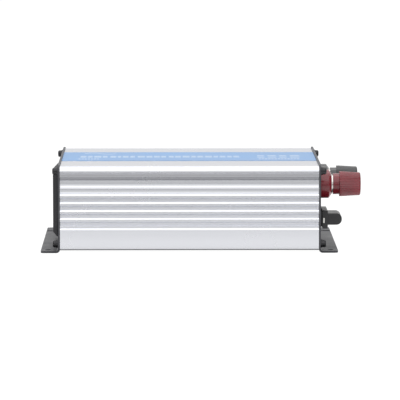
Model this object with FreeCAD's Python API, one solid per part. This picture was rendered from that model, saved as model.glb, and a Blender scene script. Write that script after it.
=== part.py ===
import FreeCAD, Part
import math
import os

V = FreeCAD.Vector

# Frame: +X towards the battery terminals, +Y across the case, +Z up. The origin lies midway between
# the two round foot holes, on the plane that the feet rest on. All sizes are in millimetres.

# Case
case_length = 207.0
case_width = 148.0
case_height = 67.2
case_lift = 2.2             # gap between the resting plane and the case's underside
case_wall = 1.7             # thinnest wall, behind the grooves and under the top
case_corner = 4.4           # outer radius of the long top edges
case_lower_corner = 1.1     # outer radius of the long bottom edges
fine_groove_size = (0.8, 0.5)   # along the top's edge: width, depth
fine_groove_gap = 0.4       # from the rounding to the groove
rib_depth = 1.5
rib_pitch = 6.4
rib_rounding = 2.4          # between a rib's face and its upper side
pocket_depth = 2.2          # narrow groove under each rib, from the case's side
pocket_height = 0.6
strip_root = 0.2            # inner strips start this far behind the pockets
rib_underside = 0.9         # height of a rib's sloping underside
rib_face = 2.3              # height of its upright face
rib_upper = 1.3             # height of its sloping upper side
plain_panel = 16.4          # height of the plain strip below the ribs
first_rib_rise = 5.6        # plain strip to the lowest rib
last_rib_drop = 2.4         # foot of the cornice to the top of the last rib
cornice_drop = 15.4         # case top to the foot of the cornice
bottom_thickness = 1.8
bottom_recess = 1.2         # case underside to the bottom plate's underside
slide_gap = 0.1             # around plates and boards that slide into grooves
pad_depth = 2.4             # thickening of the side walls where the transistors sit
pad_span = (6.0, 27.0)      # of that thickening, above the board
port_wall = 3.2             # screw port: axis to its free faces
bottom_bite = 1.6           # of the bottom plate into the groove on each side
bottom_rib_places = (-30.0, -10.0, 10.0, 30.0)

# Label on the top
label_width = 65.0
label_offset = 2.5          # of its middle from the case's middle, away from the round foot holes
label_thickness = 0.2

# End plates with their feet
plate_thickness = 1.6
plate_rise = 1.2            # of the plate above the case
bend_radius = 1.6           # inside the bend
foot_length = 14.0          # beyond the plate's outer face
foot_corner = 3.0
foot_hole_radius = 2.5
foot_hole_inset = 8.2       # hole axis to the case's side
foot_hole_reach = 8.2       # hole axis to the plate's outer face
foot_slot_inset = 23.0      # slot axis to the case's other side

# Screws that hold the end plates
port_inset = 7.0            # screw axis to the case's side
port_drop = 4.3             # upper screw axis to the case's top
bend_gap = 0.1              # lower washers to the plate's bend
screw_radius = 1.25
screw_length = 12.0
screw_head_radius = 2.8
screw_head_height = 3.0
screw_recess = (3.0, 0.6, 1.2)
screw_clearance = 0.3
washer_radius = 3.2
washer_thickness = 1.6

# Battery posts
post_inset = 40.0           # red post axis to the case's side
post_spacing = 44.0
post_height = 51.0          # above the resting plane
post_base_radius = 11.5
post_base_length = 8.1
post_cone_length = 2.1
post_cone_radius = 8.6
post_spigot_radius = 5.9
post_fit = 0.1              # around spigots and studs in their holes
stud_radius = 3.0
stud_flange_radius = 8.0
stud_flange_thickness = 0.5
stud_inner_length = 15.0
knob_washer_radius = 7.4
knob_washer_thickness = 0.5
knob_neck_radius = 8.5
knob_neck_length = 5.1
knob_length = 17.2
knob_radius = 10.15
knob_tip_radius = 9.4
knob_flutes = 44
knob_flute_radius = 0.45
knob_tip_rounding = 1.6
knob_shoulder_bevel = 0.5
insert_wall = 1.95
insert_tip_gap = 5.0        # end of the insert to the knob's tip
stud_tip_gap = 6.0
thread_gap = 0.05
bush_thickness = 3.0
bush_step = 1.5             # its radius is this much less than the base's
lug_thickness = 1.2
nut_height = 4.2
nut_wall = 2.0
strap_half = 5.0            # half the width of a strap
strap_ear = 1.0             # a lug's half width past the strap's
strap_rise = 6.0            # crossing part of the red strap above the fuse holder
clip_strap_half = 3.2
strap_foot = 12.0           # length of a strap's foot on the board

# Fuse holder
fuse_inset = 33.5           # middle of the holder to the case's side
fuse_height = 24.3          # middle of the holder above the resting plane
fuse_bezel = (24.6, 12.0, 2.2)
fuse_head = (27.0, 14.8, 4.4)
fuse_grip = (22.0, 9.4, 11.4)
fuse_grip_corner = 4.3
fuse_body_size = (22.6, 10.4)
fuse_body_depth = 22.0      # behind the plate's outer face
fuse_body_wall = 1.1
fuse_back_wall = 1.6
fuse_fit = 0.2              # of the carrier in the body
fuse_grip_rounding = 0.9
fuse_head_rounding = 0.8
fuse_size = (19.0, 5.0, 12.0)
blade_size = (5.2, 0.65, 7.0)
blade_offset = 5.7
blade_hold = 4.0            # length of a blade inside the fuse
carrier_step = 1.0          # end of the carrier to the fuse
clip_size = (6.5, 2.5)
clip_tail = 4.0             # behind the holder
clip_margin = 2.0           # clip to the carrier
clip_fit = 0.1              # around a clip in the holder's back
spring_size = (1.2, 0.6, 4.0)
spring_reach = 0.6          # bezel to the spring
spring_drop = 0.8           # of its middle below the holder's middle

# Fan
fan_size = 40.0
fan_depth = 10.0
fan_inset = 30.0            # middle of the fan to the case's other side
fan_height = 35.8
fan_bore_radius = 18.6
fan_screw_spacing = 32.0
rotor_radius = 17.8
hub_radius = 8.5
rotor_blades = 7
blade_lean = 35.0
fan_arm = (1.6, 2.4)        # thickness and width of the four arms
fan_corner = 2.5
fan_bearing_radius = 2.6
fan_shaft_radius = 1.0
fan_nut = (5.5, 2.4)        # across flats, height
rotor_back_gap = 0.6        # rotor to the arms
rotor_front_gap = 1.0       # rotor to the end plate
rotor_face = 1.6
rotor_wall = 1.2
grille_slots = 7
grille_slot_width = 3.0
vent_slots = 5
vent_pitch = 6.0
vent_margin = 2.0

# Mains outlet
outlet_height = 57.0
outlet_drop = 1.5           # of its middle below the case's middle
outlet_width = 30.0
outlet_proud = 6.2
outlet_chamfer = 3.3
outlet_body_depth = 20.0
outlet_lip = 2.5            # cover past the cut-out on each side
outlet_wall = 2.0
outlet_face = 1.0           # thickness left behind the cover's rim
outlet_cover = 2.0
outlet_plug = 1.6           # of the rear cover into the housing
socket_spacing = 29.0
blade_spacing = 12.7        # between the two blade slots
blade_slot_width = 1.9
blade_slot_heights = (7.2, 8.6)
blade_slot_rise = 3.0       # blade slots above the socket's middle
earth_drop = 8.2            # earth hole below it
earth_radius = 2.4
contact_gaps = (2.4, 2.4, 4.8)
contact_thicknesses = (0.6, 0.6, 0.8)
lead_radius = 1.3
lead_bend = 8.0
lead_spacing = 7.0
lead_drop = 12.0            # leads below the outlet's middle
lead_foot = 8.0             # leads to the board's edge

# Switch, lamps and charging socket
switch_inset = 30.0         # middle of the switch to the case's other side
switch_height = 46.0
switch_bezel = (15.0, 21.0, 1.2)
switch_body = (12.8, 19.0, 16.0)
lamp_inset = 32.0
lamp_heights = (52.0, 42.0)
lamp_radius = 2.5
lamp_rim = (0.6, 0.8)       # beyond the hole, and proud of the plate
switch_well = 6.5           # depth of the space that the key rocks in
key_gap = (3.6, 5.0)        # body's width and height beyond the key's
key_side_gap = 0.2
key_end_gap = 1.3
axle_wall = 0.5             # of the body left past the axle's holes
key_pivot = 2.0             # pivot behind the plate's outer face
key_axle_radius = 1.2
tab_size = (7.5, 4.8, 0.8)
tab_step = 5.5
charger_inset = 32.0
charger_height = 24.0
charger_size = (13.1, 5.7, 14.0)
charger_wall = 0.4
charger_block = 3.0         # thickness of the tongue's root
charger_tongue = 1.8
charger_board = (25.6, 8.0, 1.2)    # length, width beyond the socket, thickness
charger_board_start = 2.4
panel_fit = 0.15            # of switch, lamps and socket in their holes

# Main board and what stands on it
board_rise = 10.4           # case underside to the board's underside
board_thickness = 1.6
board_end_gap = 26.5        # board to the case's battery end
board_start_gap = 28.5      # board to its mains end
rail_thickness = 1.2
rail_depth = 3.0
transistor_count = 4
transistor_pitch = 19.0
transistor_tab = (10.2, 1.3, 16.0)
transistor_body = (10.2, 4.5, 9.5)
transistor_rise = 8.0       # above the board
leg_spacing = 2.54
leg_size = (0.8, 0.6)
thermal_pad = 0.3
thermal_pad_margin = 1.0    # around the transistors' tabs
clamp_thickness = 3.0
clamp_end = 5.0             # of the bar past its screws
clamp_span = (10.0, 21.0)   # of the bar above the board
clamp_head_height = 2.2
core_size = (36.0, 18.0, 32.0)
core_window = (7.0, 20.0)
core_leg = 11.0             # width of the core's middle leg
core_rise = 2.0
winding_size = (24.6, 32.0, 19.4)
winding_gap = 0.1           # around the middle leg
core_places = (-4.0, 42.0)  # from the board's middle
input_can = (6.3, 24.0)
input_can_pitch = 14.0
input_can_places = (40.0, 26.0)   # from the case's middle, and from the board's end
bulk_can = (11.0, 34.0)
bulk_can_place = (-38.0, 30.0)
can_rim = 0.8
film_size = (18.0, 10.0, 16.0)
film_place = (-61.0, -39.0)
choke_radius = 12.0
choke_core_radius = 4.0
choke_wire = 2.0            # thickness of the windings over the core
choke_turned = 140.0        # degrees covered by each winding
choke_place = (-44.0, -12.0)
choke_lift = 1.5
card_size = (50.0, 1.6, 27.5)
card_place = (16.0, 32.8)
strip_size = (40.0, 2.8, 2.5)

# Places worked out from the sizes above
side_a = -foot_hole_inset
side_b = side_a + case_width
middle = (side_a + side_b) / 2
case_bottom = case_lift
case_top = case_lift + case_height
case_end = case_length / 2
plate_face = case_end + plate_thickness
wall_inside = pocket_depth + case_wall
board_bottom = case_bottom + board_rise
board_top = board_bottom + board_thickness
board_ends = (-case_end + board_start_gap, case_end - board_end_gap)
board_middle = (board_ends[0] + board_ends[1]) / 2
insert_radius = stud_radius + thread_gap + insert_wall
foot_hole_x = plate_face + foot_hole_reach
slot_y = side_b - foot_slot_inset
red_y = side_a + post_inset
black_y = red_y + post_spacing
fuse_y = side_a + fuse_inset
fan_y = side_b - fan_inset
switch_y = side_b - switch_inset
port_low = plate_thickness + bend_radius + washer_radius + bend_gap
port_high = case_top - port_drop
port_places = [(y, z) for y in (side_a + port_inset, side_b - port_inset) for z in (port_low, port_high)]


def block(x, y, z):
    """Box between a low and a high value on each axis."""
    return Part.makeBox(x[1] - x[0], y[1] - y[0], z[1] - z[0], V(x[0], y[0], z[0]))


def centred(x, y, z, width, height):
    """Box along X whose section is centred on (y, z)."""
    return block(x, (y - width / 2, y + width / 2), (z - height / 2, z + height / 2))


def rod(x, y, z, radius, tip_radius=None):
    """Round bar, or a cone, along X."""
    if tip_radius is None:
        return Part.makeCylinder(radius, x[1] - x[0], V(x[0], y, z), V(1, 0, 0))
    return Part.makeCone(radius, tip_radius, x[1] - x[0], V(x[0], y, z), V(1, 0, 0))


def prism(corners, axis, span):
    """Solid with an outline of (u, v) or (u, v, radius) corners, pushed along an axis."""
    place = {"x": lambda p: V(span[0], p.x, p.y),
             "y": lambda p: V(p.x, span[0], p.y),
             "z": lambda p: V(p.x, p.y, span[0])}[axis]
    push = {"x": V(1, 0, 0), "y": V(0, 1, 0), "z": V(0, 0, 1)}[axis] * (span[1] - span[0])
    points = [V(c[0], c[1], 0) for c in corners]
    joints = []
    for i, corner in enumerate(corners):
        here, back, ahead = points[i], points[i - 1], points[(i + 1) % len(points)]
        if len(corner) == 2:
            joints.append((here, None, here))
            continue
        a = (back - here).normalize()
        b = (ahead - here).normalize()
        half = math.acos(max(-1.0, min(1.0, a.dot(b)))) / 2
        trim = corner[2] / math.tan(half)
        deep = corner[2] / math.sin(half) - corner[2]
        joints.append((here + a * trim, here + (a + b).normalize() * deep, here + b * trim))
    edges = []
    for i, (start, mid, end) in enumerate(joints):
        if mid is not None:
            edges.append(Part.Arc(place(start), place(mid), place(end)).toShape())
        following = joints[(i + 1) % len(joints)][0]
        if (following - end).Length > 1e-6:
            edges.append(Part.makeLine(place(end), place(following)))
    return Part.Face(Part.Wire(edges)).extrude(push)


def fused(shapes):
    """One solid from shapes that touch or overlap."""
    whole = shapes[0].fuse(list(shapes[1:])) if len(shapes) > 1 else shapes[0]
    return whole.removeSplitter()


def group(shapes):
    """Separate solids kept together in one node."""
    return Part.makeCompound([solid for shape in shapes for solid in shape.Solids])


def other_end(shape):
    """The same shape at the opposite end of the case."""
    return shape.mirror(V(0, 0, 0), V(1, 0, 0))


def edges_at_x(shape, x, tolerance=1e-4):
    """Edges that lie in the plane at x."""
    return [e for e in shape.Edges
            if abs(e.BoundBox.XMin - x) < tolerance and abs(e.BoundBox.XMax - x) < tolerance]


# ---------------------------------------------------------------- case

def side_outline():
    """Ribbed side from the underside up, as (inset, height, radius) corners."""
    bead = case_bottom + plain_panel
    first_rib = bead + first_rib_rise
    cornice = case_top - cornice_drop
    face_top = rib_underside + rib_face
    outline = [(0, case_bottom, case_lower_corner), (0, bead), (0.8, bead + 1.2), (0.8, bead + 2.2),
               (0.1, bead + 2.6), (0.1, bead + 3.1), (rib_depth, bead + 4.3)]
    for rib in range(int((cornice - last_rib_drop - first_rib) / rib_pitch)):
        z = first_rib + rib * rib_pitch
        outline += [(rib_depth, z - pocket_height), (pocket_depth, z - pocket_height), (pocket_depth, z),
                    (0, z + rib_underside, 0.3), (0, z + face_top, rib_rounding),
                    (rib_depth, z + face_top + rib_upper)]
    outline += [(0, cornice - last_rib_drop, 1.2), (rib_depth + 0.2, cornice - 0.2), (0.8, cornice + 4.1),
                (1.8, cornice + 5.2), (1.8, cornice + 6.1), (0.3, cornice + 6.9), (0.1, cornice + 9.8),
                (1.4, cornice + 10.0), (1.4, cornice + 10.8), (0, cornice + 11.0),
                (0, case_top, case_corner)]
    groove_width, groove_depth = fine_groove_size
    start = case_corner + fine_groove_gap
    return outline + [(start, case_top), (start + groove_width / 2, case_top - groove_depth),
                      (start + groove_width, case_top)]


def case_shell():
    side = side_outline()
    near = [(side_a + corner[0],) + tuple(corner[1:]) for corner in side]
    far = [(side_b - corner[0],) + tuple(corner[1:]) for corner in reversed(side)]
    span = (-case_end, case_end)
    shell = prism(near + far, "x", span)
    shell = shell.cut(block(span, (side_a + wall_inside, side_b - wall_inside),
                            (case_bottom - 1, case_top - case_wall)))
    block_width = port_inset + port_wall
    rails = []
    for low, high in ((board_bottom - slide_gap / 2 - rail_thickness, board_bottom - slide_gap / 2),
                      (board_top + slide_gap / 2, board_top + slide_gap / 2 + rail_thickness)):
        rails.append((wall_inside - 1, wall_inside + rail_depth, low, high))
    strips = rails + [
        (pocket_depth + strip_root, block_width, case_bottom, port_low + port_wall),
        (pocket_depth + strip_root, block_width, port_high - port_wall, case_top - 1),
        (wall_inside - 1, wall_inside + pad_depth, board_top + pad_span[0], board_top + pad_span[1])]
    grooves = [(block_width - bottom_bite, block_width + 1, case_bottom + bottom_recess,
                case_bottom + bottom_recess + bottom_thickness + slide_gap)]
    for low, high, floor, ceiling in strips:
        shell = shell.fuse([block(span, (side_a + low, side_a + high), (floor, ceiling)),
                            block(span, (side_b - high, side_b - low), (floor, ceiling))])
    for low, high, floor, ceiling in grooves:
        shell = shell.cut([block(span, (side_a + low, side_a + high), (floor, ceiling)),
                           block(span, (side_b - high, side_b - low), (floor, ceiling))])
    shell = shell.cut([rod(span, y, z, screw_radius + thread_gap) for y, z in port_places])
    clamp_holes = [cut for far_side in (False, True) for cut in clamp_screw_rods(far_side, thread_gap)]
    return shell.cut(clamp_holes).removeSplitter()


def bottom_plate():
    edge = port_inset + port_wall - bottom_bite + slide_gap
    low = case_bottom + bottom_recess + slide_gap / 2
    plate = block((-case_end, case_end), (side_a + edge, side_b - edge), (low, low + bottom_thickness))
    grooves = [block((-case_end, case_end), (y - 0.6, y + 0.6), (low, low + 0.5))
               for y in [middle + place for place in bottom_rib_places]]
    return plate.cut(grooves)


def top_label():
    y = middle + label_offset
    return block((-case_end, case_end), (y - label_width / 2, y + label_width / 2),
                 (case_top, case_top + label_thickness))


# ---------------------------------------------------------------- end plates

def end_plate_blank():
    """Bent sheet with its foot, at the battery end."""
    top = case_top + plate_rise
    tip = plate_face + foot_length
    section = [(case_end, top), (plate_face, top), (plate_face, plate_thickness, bend_radius),
               (tip, plate_thickness), (tip, 0), (case_end, 0, bend_radius + plate_thickness)]
    plate = prism(section, "y", (side_a, side_b))
    corner = case_corner + 0.4
    face = prism([(side_a, -1), (side_b, -1), (side_b, top, corner), (side_a, top, corner)],
                 "x", (case_end - 1, tip + 1))
    foot = prism([(case_end - 1, side_a), (tip, side_a, foot_corner), (tip, side_b, foot_corner),
                  (case_end - 1, side_b)], "z", (-1, top + 1))
    plate = plate.common(face).common(foot)
    cuts = [Part.makeCylinder(foot_hole_radius, plate_thickness + 2, V(foot_hole_x, 0, -1))]
    cuts.append(Part.makeCylinder(foot_hole_radius, plate_thickness + 2, V(foot_hole_x, slot_y, -1)))
    cuts.append(block((foot_hole_x, tip + 1), (slot_y - foot_hole_radius, slot_y + foot_hole_radius),
                      (-1, plate_thickness + 1)))
    span = (case_end - 1, plate_face + 1)
    cuts += [rod(span, y, z, screw_radius + screw_clearance) for y, z in port_places]
    return plate.cut(cuts)


def slot_row(span, y, z, width, height, pitch, count):
    """Upright slots with round ends, side by side."""
    slots = []
    for i in range(count):
        u = y + (i - (count - 1) / 2) * pitch
        r = width / 2
        outline = [(u - r, z - height / 2, r * 0.99), (u + r, z - height / 2, r * 0.99),
                   (u + r, z + height / 2, r * 0.99), (u - r, z + height / 2, r * 0.99)]
        slots.append(prism(outline, "x", span))
    return slots


def dc_end_plate():
    span = (case_end - 1, plate_face + 1)
    cuts = [rod(span, y, post_height, post_spigot_radius + post_fit) for y in (red_y, black_y)]
    cuts.append(centred(span, fuse_y, fuse_height, fuse_body_size[0] + 2 * panel_fit,
                        fuse_body_size[1] + 2 * panel_fit))
    opening = rod(span, fan_y, fan_height, fan_bore_radius - 1)
    pitch = 2 * (fan_bore_radius - 1) / grille_slots
    for slot in slot_row(span, fan_y, fan_height, grille_slot_width, fan_size, pitch, grille_slots):
        cuts.append(slot.common(opening))
    cuts += [rod(span, y, z, screw_radius + screw_clearance) for y, z in fan_screw_places()]
    return end_plate_blank().cut(cuts)


def ac_end_plate():
    span = (-plate_face - 1, -case_end + 1)
    cuts = [centred(span, middle, outlet_z(), outlet_width - 2 * outlet_lip,
                    outlet_height - 2 * outlet_lip),
            centred(span, switch_y, switch_height, switch_body[0] + 2 * panel_fit,
                    switch_body[1] + 2 * panel_fit),
            centred(span, side_a + charger_inset, charger_height, charger_size[0] + 2 * panel_fit,
                    charger_size[1] + 2 * panel_fit)]
    cuts += [rod(span, side_a + lamp_inset, z, lamp_radius + panel_fit) for z in lamp_heights]
    ceiling = switch_height - switch_bezel[1] / 2
    cuts += slot_row(span, switch_y, (ceiling + board_top) / 2, grille_slot_width,
                     ceiling - board_top - 2 * vent_margin, vent_pitch, vent_slots)
    return other_end(end_plate_blank()).cut(cuts)


def pan_screw(start, y, z, length):
    """Pan-head screw with a cross recess, its head's underside at start and its shank towards -X."""
    head = rod((start, start + screw_head_height), y, z, screw_head_radius)
    head = head.makeFillet(screw_head_height * 0.45, edges_at_x(head, start + screw_head_height))
    tip = start - length
    shank = rod((tip + 1, start), y, z, screw_radius)
    point = rod((tip, tip + 1), y, z, screw_radius * 0.5, screw_radius)
    reach, slot, depth = screw_recess
    cross = (start + screw_head_height - depth, start + screw_head_height + 1)
    recess = [centred(cross, y, z, reach, slot), centred(cross, y, z, slot, reach)]
    return fused([head, shank, point]).cut(recess)


def washer(x, y, z, radius, bore):
    return rod(x, y, z, radius).cut(rod(x, y, z, bore))


def plate_screws():
    seat = plate_face + washer_thickness
    return group([pan_screw(seat, y, z, screw_length + washer_thickness) for y, z in port_places])


def plate_washers():
    span = (plate_face, plate_face + washer_thickness)
    return group([washer(span, y, z, washer_radius, screw_radius + thread_gap) for y, z in port_places])


# ---------------------------------------------------------------- battery posts

def post_levels():
    """Distances of the post's steps along X, from the plate outwards."""
    base = plate_face + post_base_length
    cone = base + post_cone_length
    flange = cone + stud_flange_thickness
    turning = flange + post_fit
    knob = turning + knob_washer_thickness + post_fit
    shoulder = knob + knob_neck_length
    tip = shoulder + knob_length
    return {"base": base, "cone": cone, "flange": flange, "turning": turning, "knob": knob,
            "shoulder": shoulder, "tip": tip}


def post_base(y):
    at = post_levels()
    collar = rod((plate_face, at["base"]), y, post_height, post_base_radius)
    cone = rod((at["base"], at["cone"]), y, post_height, post_base_radius, post_cone_radius)
    spigot = rod((case_end, plate_face), y, post_height, post_spigot_radius)
    bore = rod((case_end - 1, at["cone"] + 1), y, post_height, stud_radius + post_fit)
    return fused([collar, cone, spigot]).cut(bore)


def post_bush(y):
    """Insulating washer on the inner side of the plate."""
    span = (case_end - bush_thickness, case_end)
    return washer(span, y, post_height, post_base_radius - bush_step, stud_radius + post_fit)


def post_stud(y):
    at = post_levels()
    stud = rod((case_end - stud_inner_length, at["tip"] - stud_tip_gap), y, post_height, stud_radius)
    flange = rod((at["cone"], at["flange"]), y, post_height, stud_flange_radius)
    return fused([stud, flange])


def knob_washer(y):
    at = post_levels()
    return washer((at["turning"], at["turning"] + knob_washer_thickness), y, post_height,
                  knob_washer_radius, stud_radius + thread_gap)


def knob_insert(y):
    at = post_levels()
    span = (at["knob"], at["tip"] - insert_tip_gap)
    return washer(span, y, post_height, insert_radius, stud_radius + thread_gap)


def knob(y):
    at = post_levels()
    neck = rod((at["knob"], at["shoulder"] + 1), y, post_height, knob_neck_radius)
    grip = rod((at["shoulder"], at["tip"]), y, post_height, knob_radius, knob_tip_radius)
    grip = grip.makeFillet(knob_tip_rounding, edges_at_x(grip, at["tip"]))
    grip = grip.makeChamfer(knob_shoulder_bevel, edges_at_x(grip, at["shoulder"]))
    flute = rod((at["shoulder"] - 1, at["tip"] + 1), y, post_height + knob_radius, knob_flute_radius)
    lean = math.degrees(math.atan((knob_radius - knob_tip_radius) / knob_length))
    flute.rotate(V(at["shoulder"], y, post_height + knob_radius), V(0, 1, 0), lean)
    flutes = []
    for i in range(knob_flutes):
        cut = flute.copy()
        cut.rotate(V(0, y, post_height), V(1, 0, 0), 360.0 * i / knob_flutes)
        flutes.append(cut)
    body = fused([neck, grip.cut(flutes)])
    return body.cut(rod((at["knob"] - 1, at["tip"] - insert_tip_gap), y, post_height, insert_radius))


def hexagon(x, y, z, across, bore):
    """Hexagonal nut along X."""
    reach = across / 2 / math.cos(math.pi / 6)
    turns = [i * math.pi / 3 for i in range(6)]
    corners = [(y + reach * math.cos(turn), z + reach * math.sin(turn)) for turn in turns]
    return prism(corners, "x", x).cut(rod(x, y, z, bore))


lug_x = (case_end - bush_thickness - lug_thickness, case_end - bush_thickness)
nut_x = (lug_x[0] - nut_height, lug_x[0])


def post_nuts():
    across = 2 * (stud_radius + nut_wall)
    return group([hexagon(nut_x, y, post_height, across, stud_radius + thread_gap)
                  for y in (red_y, black_y)])


# ---------------------------------------------------------------- fuse holder

fuse_front = plate_face + fuse_bezel[2]
fuse_back = plate_face - fuse_body_depth
spring_x = (fuse_front + spring_reach, fuse_front + spring_reach + spring_size[0])
carrier_end = fuse_back + blade_size[2] + clip_margin
fuse_seat = (carrier_end + carrier_step, carrier_end + carrier_step + fuse_size[2])


def fuse_holder():
    """Fixed body of the fuse holder, with its bezel outside the plate."""
    wall = fuse_body_wall
    bezel = centred((plate_face, fuse_front), fuse_y, fuse_height, fuse_bezel[0], fuse_bezel[1])
    sleeve = centred((fuse_back, plate_face), fuse_y, fuse_height, fuse_body_size[0], fuse_body_size[1])
    cavity = centred((fuse_back + fuse_back_wall, fuse_front + 1), fuse_y, fuse_height,
                     fuse_body_size[0] - 2 * wall, fuse_body_size[1] - 2 * wall)
    slots = [centred((fuse_back - 1, fuse_back + fuse_back_wall + 1), fuse_y + side * blade_offset, fuse_height,
                     clip_size[0] + 2 * clip_fit, clip_size[1] + 2 * clip_fit) for side in (-1, 1)]
    return fused([bezel, sleeve]).cut([cavity] + slots)


def fuse_carrier():
    """Drawer with its grip: it slides out along +X with the fuse in it."""
    head_end = fuse_front + fuse_head[2]
    head = centred((fuse_front + thread_gap, head_end), fuse_y, fuse_height, fuse_head[0], fuse_head[1])
    head = head.makeFillet(fuse_head_rounding, edges_at_x(head, head_end))
    grip_end = head_end + fuse_grip[2]
    low, high = fuse_height - fuse_grip[1] / 2, fuse_height + fuse_grip[1] / 2
    span = (fuse_y - fuse_grip[0] / 2, fuse_y + fuse_grip[0] / 2)
    grip = prism([(head_end - 1, low), (grip_end, low, fuse_grip_corner),
                  (grip_end, high, fuse_grip_corner), (head_end - 1, high)], "y", span)
    rim = [e for e in grip.Edges if e.BoundBox.YLength < 1e-6 and e.BoundBox.XMax > head_end]
    grip = grip.makeFillet(fuse_grip_rounding, rim)
    inner = 2 * (fuse_body_wall + fuse_fit)
    tongue = centred((carrier_end, fuse_front + 1), fuse_y, fuse_height,
                     fuse_body_size[0] - inner, fuse_body_size[1] - inner)
    pocket = centred((carrier_end - 1, fuse_seat[1]), fuse_y, fuse_height, fuse_size[0], fuse_size[1])
    windows = [centred(spring_x, fuse_y + side * fuse_head[0] / 2, fuse_height - spring_drop,
                       2 * (spring_size[1] + 0.2), spring_size[2]) for side in (-1, 1)]
    return fused([head, grip, tongue]).cut([pocket] + windows)


def carrier_springs():
    """Small leaf springs in the two side windows of the carrier's head."""
    seat = fuse_head[0] / 2 - 0.2 - spring_size[1] / 2
    return group([centred(spring_x, fuse_y + side * seat, fuse_height - spring_drop, spring_size[1],
                          spring_size[2]) for side in (-1, 1)])


def fuse_parts():
    body = centred(fuse_seat, fuse_y, fuse_height, fuse_size[0], fuse_size[1])
    blades = []
    clips = []
    for side in (-1, 1):
        y = fuse_y + side * blade_offset
        start = fuse_seat[0] - blade_size[2]
        blades.append(centred((start, fuse_seat[0] + blade_hold), y, fuse_height, blade_size[0], blade_size[1]))
        clip = centred((fuse_back - clip_tail, carrier_end - 0.4), y, fuse_height, clip_size[0], clip_size[1])
        gap = centred((fuse_back - 1, carrier_end + 1), y, fuse_height, clip_size[0] + 1,
                      blade_size[1] + 2 * thread_gap)
        clips.append(clip.cut(gap))
    return body.cut(blades), group(blades), group(clips)


# ---------------------------------------------------------------- conductors inside

def dc_straps():
    """Copper straps: red post to fuse, fuse to board, black post to board."""
    thick = lug_thickness
    ear = 2 * (strap_half + strap_ear)
    drop = fuse_height + fuse_body_size[1] / 2 + strap_rise
    tail = (fuse_back - clip_tail - thick, fuse_back - clip_tail)
    foot = board_ends[1] - strap_foot
    red_side = (red_y - strap_half, red_y + strap_half)
    black_side = (black_y - strap_half, black_y + strap_half)
    fed, feeding = [(fuse_y + side * blade_offset - clip_strap_half,
                     fuse_y + side * blade_offset + clip_strap_half) for side in (1, -1)]
    red = fused([centred(lug_x, red_y, post_height, ear, ear),
                 block(lug_x, red_side, (drop, post_height)),
                 block((tail[0], lug_x[1]), red_side, (drop, drop + thick)),
                 block(tail, fed, (fuse_height - clip_strap_half, drop + thick))])
    link = fused([block(tail, feeding, (board_top, fuse_height + clip_strap_half)),
                  block((foot, tail[1]), feeding, (board_top, board_top + thick))])
    black = fused([centred(lug_x, black_y, post_height, ear, ear),
                   block(lug_x, black_side, (board_top, post_height)),
                   block((foot, lug_x[1]), black_side, (board_top, board_top + thick))])
    bores = [rod((lug_x[0] - 1, lug_x[1] + 1), y, post_height, stud_radius + post_fit)
             for y in (red_y, black_y)]
    return red.cut(bores[0]), link, black.cut(bores[1])


def outlet_leads():
    """Insulated leads from the board up to the outlet's three rear terminals."""
    bend = lead_bend
    leads = []
    top = outlet_z() - lead_drop
    terminal = -case_end + outlet_body_depth - plate_thickness
    foot = board_ends[0] + lead_foot
    for y in (middle - lead_spacing, middle, middle + lead_spacing):
        rise = Part.makeLine(V(foot, y, board_top), V(foot, y, top - bend))
        mid = V(foot - bend * (1 - math.sqrt(0.5)), y, top - bend * (1 - math.sqrt(0.5)))
        turn = Part.Arc(V(foot, y, top - bend), mid, V(foot - bend, y, top)).toShape()
        edges = [rise, turn]
        if foot - bend > terminal + 1e-6:
            edges.append(Part.makeLine(V(foot - bend, y, top), V(terminal, y, top)))
        section = Part.Wire(Part.makeCircle(lead_radius, V(foot, y, board_top), V(0, 0, 1)))
        leads.append(Part.Wire(edges).makePipeShell([section], True, False))
    return group(leads)


# ---------------------------------------------------------------- fan

fan_x = (case_end - fan_depth, case_end)
rotor_x = (fan_x[0] + fan_arm[0] + rotor_back_gap, fan_x[1] - rotor_front_gap)


def fan_screw_places():
    half = fan_screw_spacing / 2
    return [(fan_y + a * half, fan_height + b * half) for a in (-1, 1) for b in (-1, 1)]


def fan_frame():
    frame = centred(fan_x, fan_y, fan_height, fan_size, fan_size)
    frame = frame.makeFillet(fan_corner, [e for e in frame.Edges if e.BoundBox.XLength > fan_depth - 0.1])
    frame = frame.cut(rod(fan_x, fan_y, fan_height, fan_bore_radius))
    thick, width = fan_arm
    arm_x = (fan_x[0], fan_x[0] + thick)
    hub = rod(arm_x, fan_y, fan_height, hub_radius)
    across = centred(arm_x, fan_y, fan_height, fan_size - 2, width)
    upright = centred(arm_x, fan_y, fan_height, width, fan_size - 2)
    bearing = rod((arm_x[1], rotor_x[1] - rotor_face - rotor_back_gap), fan_y, fan_height, fan_bearing_radius)
    shaft_hole = rod((fan_x[0] + thick / 2, fan_x[1]), fan_y, fan_height, fan_shaft_radius + thread_gap)
    holes = [rod(fan_x, y, z, screw_radius + screw_clearance) for y, z in fan_screw_places()]
    return fused([frame, hub, across, upright, bearing]).cut(holes + [shaft_hole])


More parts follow.
